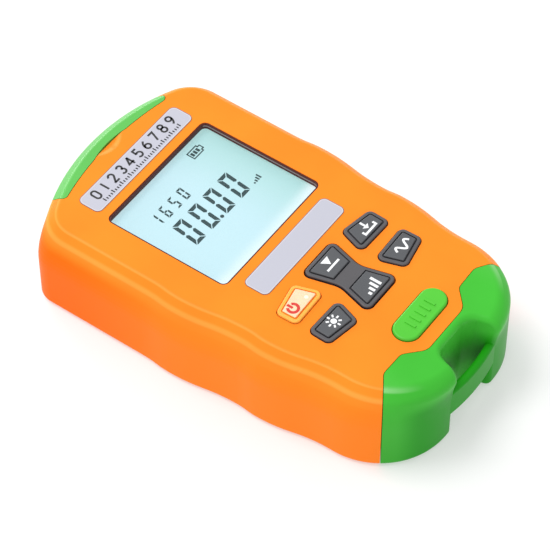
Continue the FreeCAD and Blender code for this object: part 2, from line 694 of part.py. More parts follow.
def photodetector():
    """Round detector can behind the port tube."""
    back = CUP_FLOOR_Y - CUP_WALL - TUBE_BACK
    can = port_axis(2.4, back - 3.6, back)
    return can.fuse(port_axis(2.8, back - 4.4, back - 3.6)).removeSplitter()


def lamp_led():
    """Small lamp with a domed front and a collar behind the wall."""
    back, wall, front = LAMP_Y
    dome = Part.makeSphere(LAMP_R, V(LAMP_X, front, PORT_Z))
    body = lamp_axis(LAMP_R, wall, front)
    collar = lamp_axis(LAMP_R + 0.4, back, wall)
    return body.fuse(dome).fuse(collar).removeSplitter()


def case_screws():
    """Four screws that hold the back plate to the case."""
    screws = []
    long, short = CROSS
    for x, y in mirrored_points(SCREWS):
        head = rod(HEAD_R, V(x, y, 0.2), V(x, y, HEAD_T))
        slot = box((x - long, x + long), (y - short, y + short), (0, 0.7))
        cross = box((x - short, x + short), (y - long, y + long), (0, 0.7))
        shank = rod(SCREW_R, V(x, y, HEAD_T), V(x, y, SCREW_TIP))
        screws.append(head.fuse(shank).cut(slot).cut(cross))
    return screws


def board_screws():
    screws = []
    for x, y in mirrored_points(BOARD_POSTS):
        head = rod(POST_SCREW_R * 2, V(x, y, BOARD_Z[0] - 1), V(x, y, BOARD_Z[0]))
        shank = rod(POST_SCREW_R, V(x, y, BOARD_Z[0]), V(x, y, ROOF_Z - 1.1))
        screws.append(head.fuse(shank))
    return screws


def display_gasket():
    """Dark frame that lines the display opening above the lens."""
    frame = prism(rectangle(LCD_X, LCD_Y, LCD_CORNER_R), LENS_Z[1], GASKET_TOP)
    window_y = (LCD_Y[0] + GASKET_W, LCD_Y[1] - GASKET_W)
    return frame.cut(prism(rectangle(LCD_X - GASKET_W, window_y, LCD_CORNER_R - GASKET_W), 0, HEIGHT))


def save(name, shape):
    """Write one node; a list is kept as separate solids in one file."""
    solid = Part.makeCompound(shape) if isinstance(shape, list) else shape
    solid.exportStep("parts/" + name + ".step")


def main():
    os.makedirs("parts", exist_ok=True)
    envelope = case_envelope(RIDGE_R)
    lens_y = (LCD_Y[0] - LENS_LEDGE + FIT / 2, LCD_Y[1] + LENS_LEDGE - FIT / 2)
    glass_y = (LCD_Y[0] - 3.0, LCD_Y[1] + 1.4)
    light_y = (LCD_Y[0] - 0.6, LCD_Y[1] + 1.4)
    label_z = (HEIGHT - LABEL_SUNK, HEIGHT - LABEL_SUNK + LABEL_T)
    save("housing_shell", housing_shell(envelope))
    save("end_cap", end_cap(case_envelope(CAP_RIDGE_R)))
    save("port_cover", port_cover(envelope))
    save("port_cover_pin", hinge_axis(PIN_R, -LUG_X[1], LUG_X[1]))
    save("rear_cover", rear_cover())
    save("battery_door", battery_door())
    save("battery_cells", battery_cells())
    save("battery_contacts", battery_contacts())
    save("case_screws", case_screws())
    save("display_lens", prism(rectangle(LCD_X + LENS_LEDGE - FIT / 2, lens_y, 0.9), *LENS_Z))
    save("display_gasket", display_gasket())
    save("lcd_glass", prism(rectangle(LCD_X + 1.0, glass_y, 0.4), *GLASS_Z))
    save("lcd_backlight", prism(rectangle(LCD_X + 1.0, light_y, 0.4), BOARD_Z[1], GLASS_Z[0]))
    connector_y = (glass_y[0] + 0.2, light_y[0] - 0.2)
    save("lcd_connector", box((-LCD_X + 2, LCD_X - 2), connector_y, (BOARD_Z[1], GLASS_Z[0])))
    save("title_label", prism(rectangle(TITLE_X, TITLE_Y, LABEL_R), *label_z))
    save("blank_label", prism(rectangle(BLANK_X, BLANK_Y, LABEL_R), *label_z))
    for name, place in CORNER_KEYS.items():
        save(name, push_key(corner_key_shape(place), corner_key_centre(*place)))
    save("mode_key", mode_key())
    save("press_key", press_key())
    fulcrum = box((-4, 4), (KEYPAD_Y - 0.6, KEYPAD_Y + 0.6), (BOARD_Z[1], ROCKER_FLANGE_Z[0] - 0.05))
    save("rocker_fulcrum", fulcrum)
    save("main_board", main_board())
    save("board_screws", board_screws())
    save("board_chips", board_chips())
    save("key_switches", key_switches())
    save("fibre_adapter", fibre_adapter())
    save("adapter_nut", adapter_nut())
    save("photodetector", photodetector())
    save("lamp_led", lamp_led())


main()
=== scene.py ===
"""Finishes, display, key marks and stage for a handheld optical power meter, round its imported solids."""

import math
from collections import namedtuple

import bmesh
import bpy
from bpy.props import FloatProperty, FloatVectorProperty, IntProperty, PointerProperty, StringProperty
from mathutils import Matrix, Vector


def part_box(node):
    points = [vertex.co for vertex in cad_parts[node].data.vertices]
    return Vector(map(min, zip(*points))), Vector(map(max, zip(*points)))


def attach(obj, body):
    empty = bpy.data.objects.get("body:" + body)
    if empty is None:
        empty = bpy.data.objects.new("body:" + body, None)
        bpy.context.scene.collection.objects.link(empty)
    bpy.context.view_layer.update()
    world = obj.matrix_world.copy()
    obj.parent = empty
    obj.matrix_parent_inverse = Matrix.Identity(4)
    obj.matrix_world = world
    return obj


bl_info = {
    "name": "Optical power meter",
    "version": (1, 0, 0),
    "blender": (4, 5, 0),
    "location": "View3D > Sidebar > Meter",
    "description": "Finishes, display, key marks and stage of a handheld optical power meter",
    "category": "Object",
}

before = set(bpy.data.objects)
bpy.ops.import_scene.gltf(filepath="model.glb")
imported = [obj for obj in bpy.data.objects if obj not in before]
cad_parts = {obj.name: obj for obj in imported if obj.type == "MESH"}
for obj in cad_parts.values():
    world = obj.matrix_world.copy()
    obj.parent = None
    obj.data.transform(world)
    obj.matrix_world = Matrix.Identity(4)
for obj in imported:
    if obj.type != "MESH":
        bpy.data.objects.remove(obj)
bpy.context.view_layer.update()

MM = 0.001
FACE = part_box("housing_shell")[1].z
FACE_MM = FACE / MM

# Print stands a film's thickness above its face, and its underside is sunk in the face.
FILM = 0.02 * MM
SUNK = 0.04 * MM
SAME_POINT = 0.002 * MM

# The floor, the lights and the camera, in metres.
Light = namedtuple("Light", "place area")
KEY_LIGHT = Light((-0.22, 0.47, 1.15), (0.6, 0.6))
STRIP_LIGHT = Light((-0.85, -0.35, 0.30), (0.8, 0.2))
BACK_LIGHT = Light((0.55, 0.95, 0.35), (0.6, 0.3))
FLOOR_HALF = 3.0
NEAREST = 0.01
SENSOR_WIDTH = 36        # millimetres, as the lens

# All lengths from here to the properties are in millimetres, which the materials read too.
# A band of painted highlight lies at one height, with its reach above and below, and sets in between two
# distances from the middle of the face.
Band = namedtuple("Band", "height reach wear start full")
CASE_HIGHLIGHTS = (Band(FACE_MM - 0.25, 0.24, 0.35, 0, 1), Band(FACE_MM - 2.5, 0.9, 0.42, 0, 1))
# The cap's band is a painted highlight on both of its corners towards the seam.
CAP_HIGHLIGHTS = (Band(FACE_MM - 0.45, 0.55, 0.75, 17, 31),)
BAND_CORE = 0.2          # share of the reach that the painted highlight covers evenly

# Heights between which a wall turns from its painted shade to the tone of the face, and places along the
# meter between which the deeper painted shade of an end sets in.
CASE_SHADE_HEIGHTS = (FACE_MM - 7.0, FACE_MM - 3.0)
CASE_PORT_SHADE = (-5.0, 50.0)
CAP_SHADE_HEIGHTS = (FACE_MM - 26.0, FACE_MM - 5.0)
CAP_END_SHADE_HEIGHTS = (FACE_MM - 9.0, FACE_MM - 4.0)
CAP_END_SHADE_PLACES = (-54.0, -59.0)

# Depths below the top of a key between which its pad ends and its groove sets in.
PAD_EDGE = (0.16, 0.08)
GROOVE_EDGE = (0.68, 0.5)

# How far red, green and blue light goes into the lit key.
MILKY_DEPTH = (2.0, 1.0, 0.5)

# The cells' sleeve: its distance from both ends, the start and end of its pale band, and the softness of its
# edges.
SLEEVE_END = 1.6
SLEEVE_BAND = (29.0, 37.0)
SLEEVE_EDGE = 0.1

# The board's copper pattern: its cells to a metre, and the width of a line as a share of a cell.
COPPER_CELLS = 90.0
COPPER_LINE = 0.05

# How much closer together the tool lines of a turned piece are along each axis.
TURNED = (1, 8, 1)

# The display's glow: its reach from the lower edge along the lamps, and in the lower corners its reach from
# that edge and its distances from the sides.
LAMP_REACH = (3.5, 10.0)
CORNER_REACH = (2.0, 10.0)
CORNER_INSET = (9.0, 1.0)

# The painted highlight on the frame: its middle and edges as shares of the frame's height, and its distance
# from the side.
SHEEN_MIDDLE = 0.62
SHEEN_EDGE = (0.08, 0.2)
SHEEN_INSET = (1.5, 1.0)

# A label's corner, and the distances from its edge over which the painted edge shadow and the bare margin
# end.
LABEL_CORNER = 1.8
LABEL_SHADOW = (0.14, 0.24)
LABEL_MARGIN = (0.42, 0.55)

# Bars that stand side by side: each one may grow taller than the last, or every nth one be longer.
Row = namedtuple("Row", "count pitch width height growth every longer", defaults=(0.0, 1, 0.0))

# Marks of the display, from the middle of the glass.
READING_START = (-12.55, -2.95)
BAND_START = (-13.15, 8.5)
POINT_BACK = 0.55        # share of the gap between digits that a point stands back
BATTERY_LOW = (11.1, 15.45)
BATTERY_HIGH = (15.0, 18.05)
BATTERY_LINE = 0.36
NUB_REACH = 0.75
NUB_HALF = 0.7
BATTERY_BARS = Row(3, 1.1, 0.8, 1.4)
BATTERY_BARS_INSET = (0.85, 0.6)
LEVEL_START = (13.6, -2.85)
LEVEL_BARS = Row(4, 0.85, 0.5, 0.55, growth=0.75)

# The printed scale, whose foot lies below the middle of the label.
SCALE_FOOT = -2.6
TICK_WIDTH = 0.38
TICK_HEIGHT = 0.75
NUMBERED_LONGER = 0.7
NUMBER_EVERY = 4
NUMBER_GAP = 0.4

# Which of a digit's seven bars are dark: a to f clockwise from the top, g across the middle.
DIGIT_BARS = {
    "0": "abcdef", "1": "bc", "2": "abged", "3": "abgcd", "4": "fgbc",
    "5": "afgcd", "6": "afgecd", "7": "abc", "8": "abcdefg", "9": "abcdfg",
}


def size(label, text, millimetres):
    """A length that the sidebar shows in scene units."""
    return FloatProperty(name=label, description=text, default=millimetres * MM, unit="LENGTH", precision=5)


def paint(label, text, colour):
    """A linear colour that the sidebar shows as a swatch."""
    return FloatVectorProperty(name=label, description=text, default=colour, subtype="COLOR", min=0, max=1)


class MeterColours(bpy.types.PropertyGroup):
    """Colours of the mouldings, films, inks and metals."""

    shell: paint("Shell", "Orange of the case, back plate and battery door", (1.0, 0.245, 0.019))
    # Deeper oranges painted on the walls as shade, deepest towards the port.
    shell_wall: paint("Shell walls", "Deeper orange of the case's walls", (1.0, 0.228, 0.013))
    shell_end: paint("Shell end", "Deepest orange of the walls towards the port", (1.0, 0.148, 0.0))
    # Paler orange painted along the ridges as a highlight.
    shell_rub: paint("Rubbed ridge", "Paler orange of the rubbed ridges", (1.0, 0.42, 0.085))
    cap: paint("Cap", "Green of the end cap", (0.052, 0.46, 0.036))
    # Deeper greens painted on the cap's walls, bar and end walls as shade.
    cap_wall: paint("Cap walls", "Deeper green of the end cap's walls", (0.040, 0.390, 0.026))
    cap_end: paint("Cap end", "Deepest green of the bar and of the cap's end walls", (0.014, 0.30, 0.008))
    # Paler green painted at the cap's corners as a highlight.
    cap_rub: paint("Rubbed cap", "Paler green of the cap's rubbed corners", (0.42, 0.74, 0.38))
    # The cover's paler green is the cap's green lightened as a painted sheen from the light behind it.
    cover: paint("Cover", "Paler green of the port cover", (0.090, 0.447, 0.068))
    oval: paint("Oval key", "Fresher green of the oval key", (0.075, 0.52, 0.030))
    key_pad: paint("Key pad", "Grey of the raised middle of a key", (0.072, 0.076, 0.084))
    key_rim: paint("Key rim", "Grey of the bevelled rim of a key", (0.075, 0.072, 0.078))
    key_groove: paint("Key groove", "Shade in the groove inside the rim", (0.034, 0.036, 0.048))
    key_ink: paint("Key ink", "White of the key marks", (0.86, 0.87, 0.88))
    power_pad: paint("Power pad", "Cream of the lit power key", (0.93, 0.61, 0.40))
    power_rim: paint("Power rim", "Amber of the power key's rim", (1.0, 0.42, 0.05))
    power_ink: paint("Power mark", "Red of the standby mark", (0.62, 0.03, 0.02))
    power_pearl: paint("Power lamp", "Pearl of the power key's small lamp", (0.95, 0.86, 0.68))
    display: paint("Display", "Lit background at the left of the display", (0.212, 0.315, 0.345))
    display_right: paint("Display right", "Lit background at the right", (0.166, 0.283, 0.282))
    display_glow: paint("Display glow", "Background beside the display's lamps", (0.312, 0.378, 0.392))
    display_ink: paint("Display ink", "Dark bars of the display", (0.008, 0.038, 0.044))
    window: paint("Window", "Faint tint of the clear window", (0.86, 0.94, 0.95))
    window_pale: paint("Pale window", "Fainter tint of the clear window", (0.92, 0.97, 0.98))
    # The frame's dark brown is painted shade of the display's recess wall, and its paler band a painted
    # highlight.
    gasket: paint("Gasket", "Dark brown of the frame round the display", (0.080, 0.018, 0.015))
    gasket_bead: paint("Gasket bead", "Paler bead along the frame's right side", (0.30, 0.22, 0.22))
    label: paint("Label", "Film of the two face labels", (0.465, 0.468, 0.54))
    label_edge: paint("Label edge", "Unprinted margin of a label", (0.57, 0.55, 0.60))
    # A thin dark line painted round a label's edge as shadow.
    label_line: paint("Label line", "Dark cut edge of a label", (0.16, 0.09, 0.07))
    label_ink: paint("Label ink", "Black of the printed scale", (0.012, 0.012, 0.014))
    steel: paint("Steel", "Screws, hinge pin and battery contacts", (0.55, 0.56, 0.58))
    brass: paint("Brass", "Nut and detector can of the port", (0.72, 0.50, 0.20))
    plating: paint("Plating", "Plated body of the port", (0.72, 0.73, 0.75))
    package: paint("Packages", "Black of chips, switches and strips", (0.02, 0.02, 0.022))
    board: paint("Board", "Green mask of the board", (0.008, 0.10, 0.035))
    board_line: paint("Board lines", "Paler mask over the copper lines", (0.03, 0.24, 0.09))
    sleeve: paint("Sleeve", "Blue sleeve of the cells", (0.03, 0.07, 0.22))
    sleeve_band: paint("Sleeve band", "Pale band of the cells' sleeve", (0.62, 0.63, 0.66))
    cell_end: paint("Cell ends", "Bare metal at the ends of the cells", (0.58, 0.58, 0.57))
    lamp: paint("Lamp", "Clear moulding of the lamp beside the port", (0.86, 0.89, 0.92))
    light_guide: paint("Light guide", "White sheet behind the display", (0.88, 0.92, 0.93))
    floor: paint("Floor", "Pale surface that the meter lies on", (0.52, 0.52, 0.52))


class MeterSizes(bpy.types.PropertyGroup):
    """Sizes of what is printed or shown on the face."""

    reading: StringProperty(name="Reading", description="Number in the large digits", default="00.00")
    band: StringProperty(name="Band", description="Number in the small digits", default="1650")
    digit_width: size("Digit width", "Width of a large digit", 4.0)
    digit_height: size("Digit height", "Height of a large digit", 9.0)
    digit_pitch: size("Digit pitch", "Distance from one large digit to the next", 6.58)
    small_pitch: size("Small pitch", "Distance from one small digit to the next", 3.85)
    digit_bar: size("Digit bar", "Thickness of a large digit's bars", 1.15)
    small_bar: size("Small bar", "Thickness of a small digit's bars", 0.56)
    small_share: FloatProperty(name="Small share", description="Small digits as a share of the large ones",
                               default=0.47, min=0.1, max=1.0, subtype="FACTOR")
    lean: FloatProperty(name="Lean", description="Slope of the digits",
                        default=math.radians(6), subtype="ANGLE")
    key_line: size("Key line", "Thickness of the lines of the key marks", 0.62)
    scale_marks: IntProperty(name="Scale marks", description="Ticks of the printed scale", default=37, min=2)
    scale_pitch: size("Scale pitch", "Distance between ticks of the printed scale", 0.9)
    number_height: size("Number height", "Height of the numbers of the printed scale", 3.6)
    number_line: size("Number line", "Thickness of the numbers' strokes", 0.58)


class MeterStage(bpy.types.PropertyGroup):
    """Camera and lights."""

    azimuth: FloatProperty(name="Azimuth", description="Turn of the camera round the meter",
                           default=math.radians(-54.4), subtype="ANGLE")
    elevation: FloatProperty(name="Elevation", description="Height of the camera above the floor's plane",
                             default=math.radians(51.0), subtype="ANGLE")
    distance: FloatProperty(name="Distance", description="Camera to the point it looks at",
                            default=0.7388, subtype="DISTANCE")
    aim: FloatVectorProperty(name="Aim", description="Point that the camera looks at",
                             default=(-0.0032, -0.0008, FACE - 0.0116), subtype="XYZ", unit="LENGTH")
    lens: FloatProperty(name="Lens", description="Focal length of the camera", default=184.5, unit="CAMERA")
    key_power: FloatProperty(name="Key light", description="Power of the large soft light",
                             default=9.0, unit="POWER")
    strip_power: FloatProperty(name="Strip light", description="Power of the low strip by the near wall",
                               default=0.7, unit="POWER")
    back_power: FloatProperty(name="Back light", description="Power of the low light behind the port end",
                              default=4.5, unit="POWER")
    table: FloatProperty(name="Table light", description="Glow of the pale floor, as of a lit table",
                         default=0.42, min=0)
    sky: FloatProperty(name="Sky", description="Strength of the even white surround", default=0.75, min=0)


class Value:
    """A tree's number that Python operators combine, each operation adding a Math node."""

    def __init__(self, owner, socket):
        self.owner = owner
        self.socket = socket

    def math(self, operation, first, second):
        return self.owner.node("ShaderNodeMath", {"operation": operation}, {0: first, 1: second})

    def __add__(self, other):
        return self.math("ADD", self, other)

    def __radd__(self, other):
        return self.math("ADD", other, self)

    def __sub__(self, other):
        return self.math("SUBTRACT", self, other)

    def __rsub__(self, other):
        return self.math("SUBTRACT", other, self)

    def __mul__(self, other):
        return self.math("MULTIPLY", self, other)

    def __rmul__(self, other):
        return self.math("MULTIPLY", other, self)

    def __mod__(self, other):
        return self.math("FLOORED_MODULO", self, other)

    def __lt__(self, other):
        return self.math("LESS_THAN", self, other)

    def __pow__(self, other):
        return self.math("POWER", self, other)

    def __abs__(self):
        return self.math("ABSOLUTE", self, 0)

    def at_least(self, other):
        return self.math("MAXIMUM", self, other)

    def rise(self, low, high):
        """0 at low, 1 at high and a smooth step between, whichever of them is the larger."""
        return self.owner.node("ShaderNodeMapRange", {"interpolation_type": "SMOOTHSTEP"},
                               {"Value": self, "From Min": low, "From Max": high})


class Tree:
    """A node tree whose values Python expressions combine."""

    def __init__(self, tree):
        self.tree = tree

    def node(self, kind, settings, inputs, output=0):
        """One output of a new node, whose settings come first and then its sockets' values or links."""
        node = self.tree.nodes.new(kind)
        for name, value in settings.items():
            setattr(node, name, value)
        for name, value in inputs.items():
            if isinstance(value, Value):
                self.tree.links.new(value.socket, node.inputs[name])
            else:
                node.inputs[name].default_value = value
        return Value(self, node.outputs[output])


class Finish(Tree):
    """A material round one Principled shader."""

    def __init__(self, name, **uniform):
        self.material = bpy.data.materials.new(name)
        self.material.use_nodes = True
        super().__init__(self.material.node_tree)
        self.tree.nodes.clear()
        self.shader = self.tree.nodes.new("ShaderNodeBsdfPrincipled")
        out = self.tree.nodes.new("ShaderNodeOutputMaterial")
        self.tree.links.new(self.shader.outputs[0], out.inputs["Surface"])
        for socket, value in uniform.items():
            self.shader.inputs[socket.replace("_", " ")].default_value = value

    def link(self, socket, value):
        self.tree.links.new(value.socket, self.shader.inputs[socket])

    def place(self):
        """Object coordinates, which keep a pattern on its piece as the piece moves."""
        return self.node("ShaderNodeTexCoord", {}, {}, "Object")

    def axis(self, letter):
        """Object coordinate along one axis, in millimetres."""
        return self.node("ShaderNodeSeparateXYZ", {}, {0: self.place()}, letter) * (1 / MM)

    def noise(self, cell, detail=2.0, roughness=0.5, stretch=None):
        """Soft noise whose lumps are about one cell across, in millimetres."""
        place = self.place()
        if stretch:
            place = self.node("ShaderNodeMapping", {}, {"Vector": place, "Scale": stretch})
        return self.node("ShaderNodeTexNoise", {}, {
            "Vector": place, "Scale": 1 / (cell * MM), "Detail": detail, "Roughness": roughness})

    def mix(self, share, first, second):
        """One colour turning into another."""
        return self.node("ShaderNodeMix", {"data_type": "RGBA"}, {0: share, 6: first, 7: second}, 2)

    def vary(self, share, colour, spread):
        """A colour that turns from a little darker to a little brighter."""
        return self.mix(share, rgba(colour, 1 - spread), rgba(colour, 1 + spread))

    def bump(self, height, strength, depth):
        """Relief up to a depth in millimetres."""
        relief = {"Strength": strength, "Distance": depth * MM, "Height": height}
        self.link("Normal", self.node("ShaderNodeBump", {}, relief))


def rgba(colour, share=1.0):
    """A colour at a share of its brightness."""
    return tuple(min(1.0, part * share) for part in colour) + (1.0,)


def moulded(name, colour, roughness=0.4, cell=0.35, depth=0.012, tone=0.05, ridge_highlight=None, walls=(), **uniform):
    """Satin moulding: faint flow clouds, a fine eroded grain and perhaps walls in painted shade and ridges in
    painted highlights.
    """
    finish = Finish(name, **uniform)
    clouds = finish.noise(26, detail=3)
    grain = finish.noise(cell, roughness=0.6)
    base = finish.vary(clouds.rise(0.3, 0.7), colour, tone)
    # Below the given heights the walls take a painted shade colour.
    for shade_colour, heights, ends in walls:
        share = 1 - finish.axis("Z").rise(*heights)
        if ends:
            share = share * finish.axis("Y").rise(*ends)
        base = finish.mix(share, base, rgba(shade_colour))
    # Ridges take a paler colour as a painted highlight.
    if ridge_highlight:
        highlight_colour, bands = ridge_highlight
        base = finish.mix(rubbed_share(finish, clouds, bands), base, rgba(highlight_colour))
    finish.link("Base Color", base)
    finish.link("Roughness", roughness - 0.06 + 0.08 * clouds + 0.06 * grain)
    finish.bump(grain, strength=0.35, depth=depth)
    return finish.material


def rubbed_share(finish, clouds, bands):
    """Share of painted highlight along the bands of the rim."""
    height, aside = finish.axis("Z"), abs(finish.axis("X"))
    share = 0
    for band in bands:
        inside = 1 - abs(height - band.height).rise(band.reach * BAND_CORE, band.reach)
        share = share + band.wear * inside * aside.rise(band.start, band.full)
    return share * (0.7 + 0.6 * clouds)


def key_rubber(name, node, pad, rim, groove, **uniform):
    """Soft key: the pad, the groove round it and the rim told apart by their height."""
    finish = Finish(name, **uniform)
    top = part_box(node)[1].z / MM
    height = finish.axis("Z")
    grain = finish.noise(0.3, roughness=0.6)
    clouds = finish.noise(9)
    is_pad = height.rise(*(top - depth for depth in PAD_EDGE))
    in_groove = 1 - height.rise(*(top - depth for depth in GROOVE_EDGE))
    base = finish.mix(is_pad, finish.vary(clouds, rim, 0.08), finish.vary(clouds, pad, 0.08))
    # On the grey keys the groove's colour is painted shade.
    finish.link("Base Color", finish.mix(in_groove, base, rgba(groove)))
    finish.link("Roughness", 0.46 + 0.14 * grain)
    finish.bump(grain, strength=0.3, depth=0.01)
    return finish.material


def ink(name, colour, roughness=0.45, **uniform):
    """Printed ink with a slightly uneven coat."""
    finish = Finish(name, **uniform)
    coat = finish.noise(0.8, detail=3)
    finish.link("Base Color", finish.vary(coat, colour, 0.1))
    finish.link("Roughness", roughness + 0.1 * coat)
    finish.bump(coat, strength=0.15, depth=0.004)
    return finish.material


def metal(name, colour, roughness=0.3, stretch=None):
    """Turned or drawn metal with fine tool lines, closer together along a stretched axis."""
    finish = Finish(name, Metallic=1.0)
    lines = finish.noise(0.6, detail=3, stretch=stretch)
    finish.link("Base Color", finish.mix(lines, rgba(colour, 0.86), rgba(colour, 1.06)))
    finish.link("Roughness", roughness - 0.05 + 0.14 * lines)
    finish.bump(lines, strength=0.2, depth=0.006)
    return finish.material


def dress(material, *nodes):
    """Give CAD nodes one finish all over."""
    for node in nodes:
        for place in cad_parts[node].material_slots:
            place.material = material


def stroke(points, width, closed=False):
    """Quads of a flat line of one width, mitred at each bend."""
    path = [Vector(point) for point in points]
    sides = []
    for i, here in enumerate(path):
        last = not closed and i == len(path) - 1
        ahead = (here - path[i - 1] if last else path[(i + 1) % len(path)] - here).normalized()
        behind = (here - path[i - 1]).normalized() if closed or i else ahead
        across = (ahead + behind).normalized().orthogonal()
        reach = width / 2 / across.dot(ahead.orthogonal())
        sides.append((here + across * reach, here - across * reach))
    after = sides[1:] + sides[:1] if closed else sides[1:]
    return [(a, b, d, c) for (a, b), (c, d) in zip(sides, after)]


def arc(radius, start, end, steps, centre=(0, 0)):
    """Points along part of a circle, from one angle in degrees to another."""
    angles = [math.radians(start + (end - start) * i / steps) for i in range(steps + 1)]
    return [(centre[0] + radius * math.cos(a), centre[1] + radius * math.sin(a)) for a in angles]


def ring(radius, centre, corners=24):
    """Points round a circle."""
    return arc(radius, 0, 360 - 360 / corners, corners - 1, centre)


# Centre lines of printed figures one unit high, each with whether it is a loop.
SIX = ((ring(0.27, (0, 0.27)), True), (arc(0.8, 179, 119, 8, (0.53, 0.27)), False))
NUMERALS = {
    "0": ((arc(0.27, 0, 180, 12, (0, 0.73)) + arc(0.27, 180, 360, 12, (0, 0.27)), True),),
    "1": (([(0, 0), (0, 1)], False),),
    "2": ((arc(0.27, 170, -35, 14, (0, 0.73)) + [(-0.25, 0)], False), ([(-0.34, 0), (0.30, 0)], False)),
    "3": ((arc(0.245, 155, -90, 14, (0, 0.755)), False), (arc(0.265, 90, -155, 14, (0, 0.265)), False)),
    "4": (([(0.14, 0), (0.14, 1)], False), ([(0.14, 1), (-0.30, 0.28), (0.34, 0.28)], False)),
    "5": (([(0.24, 1), (-0.19, 1), (-0.22, 0.48)], False),
          (arc(0.29, 140, -150, 16, (-0.01, 0.30)), False)),
    "6": SIX,
    "7": (([(-0.28, 1), (0.28, 1), (-0.10, 0)], False),),
    "8": ((ring(0.235, (0, 0.765)), True), (ring(0.275, (0, 0.275)), True)),
    "9": tuple(([(-x, 1 - y) for x, y in line], loop) for line, loop in SIX),
}


def numeral(figure, height, line, centre):
    """Outlines of the strokes of a printed figure round its centre."""
    scale = height - line
    outlines = []
    for path, loop in NUMERALS[figure]:
        points = [(centre[0] + x * scale, centre[1] + (y - 0.5) * scale) for x, y in path]
        outlines += stroke(points, line, loop)
    return outlines


def bar(x, y, width, height):
    """Upright rectangle from its lower left corner."""
    return [(x, y), (x + width, y), (x + width, y + height), (x, y + height)]


def digit(figure, width, height, line, lean):
    """Outlines of the dark bars of a seven-bar digit that stands on its lower left corner."""
    gap = line * 0.16
    middle = height / 2
    left, right = line + gap, width - line - gap
    upper, lower = middle + line / 2, middle - line / 2
    level = [(gap, height), (width - gap, height), (right, height - line), (left, height - line)]
    upright = [(0, height - gap), (line, height - line - gap), (line, upper + gap),
               (line / 2, middle + gap), (0, middle + gap + line / 4)]
    across = [(line / 2 + gap, middle), (left, upper), (right, upper),
              (width - line / 2 - gap, middle), (right, lower), (left, lower)]
    outlines = {
        "a": level,
        "d": [(x, height - y) for x, y in level],
        "f": upright,
        "b": [(width - x, y) for x, y in upright],
        "e": [(x, height - y) for x, y in upright],
        "c": [(width - x, height - y) for x, y in upright],
        "g": across,
    }
    slope = math.tan(lean)
    return [[(x + y * slope, y) for x, y in outlines[name]] for name in DIGIT_BARS[figure]]


def shifted(outlines, x, y):
    """The same outlines moved across the face."""
    return [[(px + x, py + y) for px, py in outline] for outline in outlines]


class Repeat(Tree):
    """A geometry tree that makes what repeats from named inputs."""

    def __init__(self, name, **inputs):
        super().__init__(bpy.data.node_groups.new(name, "GeometryNodeTree"))
        for label, kind in {**inputs, "Material": "Material"}.items():
            self.tree.interface.new_socket(label, in_out="INPUT", socket_type="NodeSocket" + kind)
        self.tree.interface.new_socket("Geometry", in_out="OUTPUT", socket_type="NodeSocketGeometry")
        outputs = self.tree.nodes.new("NodeGroupInput").outputs
        self.given = {socket.name: Value(self, socket) for socket in outputs}

    def close(self, instances):
        """End the tree with real, painted geometry."""
        real = self.node("GeometryNodeRealizeInstances", {}, {0: instances})
        painted = self.node("GeometryNodeSetMaterial", {},
                            {"Geometry": real, "Material": self.given["Material"]})
        end = self.tree.nodes.new("NodeGroupOutput")
        self.tree.links.new(painted.socket, end.inputs[0])
        return self.tree


def bar_row_tree():
    """Bars standing side by side on a line, each nth one longer or each one taller than the last."""
    made = bpy.data.node_groups.get("bar_row")
    if made:
        return made
    tree = Repeat("bar_row", Count="Int", Start="Vector", Pitch="Vector", Bar="Vector", Growth="Float",
                  Every="Int", Longer="Float")
    given = tree.given
    line = tree.node("GeometryNodeMeshLine", {"mode": "OFFSET"}, {
        "Count": given["Count"], "Start Location": given["Start"], "Offset": given["Pitch"]})
    block = tree.node("GeometryNodeMeshCube", {}, {"Size": given["Bar"]})
    half = tree.node("ShaderNodeVectorMath", {"operation": "MULTIPLY"}, {0: given["Bar"], 1: (0, 0.5, 0)})
    stood = tree.node("GeometryNodeTransform", {}, {"Geometry": block, "Translation": half})
    index = tree.node("GeometryNodeInputIndex", {}, {})
    is_longer = index % given["Every"] < 0.5
    tall = 1 + index * given["Growth"] + is_longer * given["Longer"]
    scale = tree.node("ShaderNodeCombineXYZ", {}, {"X": 1, "Y": tall, "Z": 1})
    row = tree.node("GeometryNodeInstanceOnPoints", {}, {"Points": line, "Instance": stood, "Scale": scale})
    return tree.close(row)


def ray_ring_tree():
    """Short bars pointing outwards round a circle."""
    tree = Repeat("ray_ring", Count="Int", Radius="Float", Centre="Vector", Bar="Vector")
    given = tree.given
    circle = tree.node("GeometryNodeMeshCircle", {}, {"Vertices": given["Count"], "Radius": given["Radius"]})
    spot = tree.node("GeometryNodeInputPosition", {}, {})
    outwards = tree.node("FunctionNodeAlignRotationToVector", {"axis": "Y", "pivot_axis": "Z"},
                         {"Vector": spot})
    block = tree.node("GeometryNodeMeshCube", {}, {"Size": given["Bar"]})
    rays = tree.node("GeometryNodeInstanceOnPoints", {}, {
        "Points": circle, "Instance": block, "Rotation": outwards})
    moved = tree.node("GeometryNodeTransform", {}, {"Geometry": rays, "Translation": given["Centre"]})
    return tree.close(moved)


